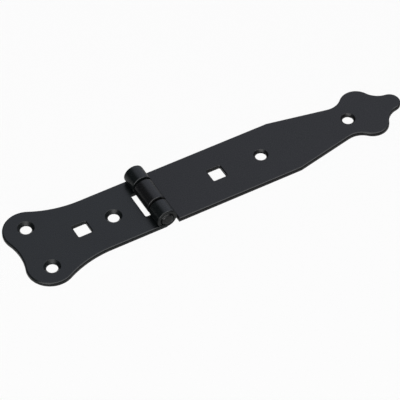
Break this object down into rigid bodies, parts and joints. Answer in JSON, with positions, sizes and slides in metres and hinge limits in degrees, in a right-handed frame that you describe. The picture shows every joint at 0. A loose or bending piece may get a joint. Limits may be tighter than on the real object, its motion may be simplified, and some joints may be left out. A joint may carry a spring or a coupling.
{
  "type": "tee hinge",
  "caption": "Flat tee hinge: a fish-tail short leaf and a long tapered strap with a trefoil head, turning on a riveted pin, with countersunk screw holes and square bolt holes.",
  "frame": {"origin": "in the plane of the leaves' backs, straight behind the middle of the hinge pin", "axes": "+Z out of the leaves' fronts, +X to the tip of the strap, Y along the hinge pin"},
  "size_m": [0.2174, 0.0496, 0.0106],
  "materials": {
    "leaf_coat": "satin black powder coat on pressed steel sheet",
    "strap_coat": "satin black powder coat on pressed steel sheet",
    "pin_coat": "satin black powder coat on a riveted steel pin"
  },
  "bodies": {
    "post_side": {"short_leaf": "leaf_coat", "hinge_pin": "pin_coat"},
    "gate_side": {"strap_leaf": "strap_coat"}
  },
  "joints": [
    {"name": "leaf_hinge", "type": "hinge", "parent": "post_side", "child": "gate_side", "pos_m": [0, 0, 0.00531], "axis": [0, -1, 0], "range_deg": [-98, 180]}
  ]
}
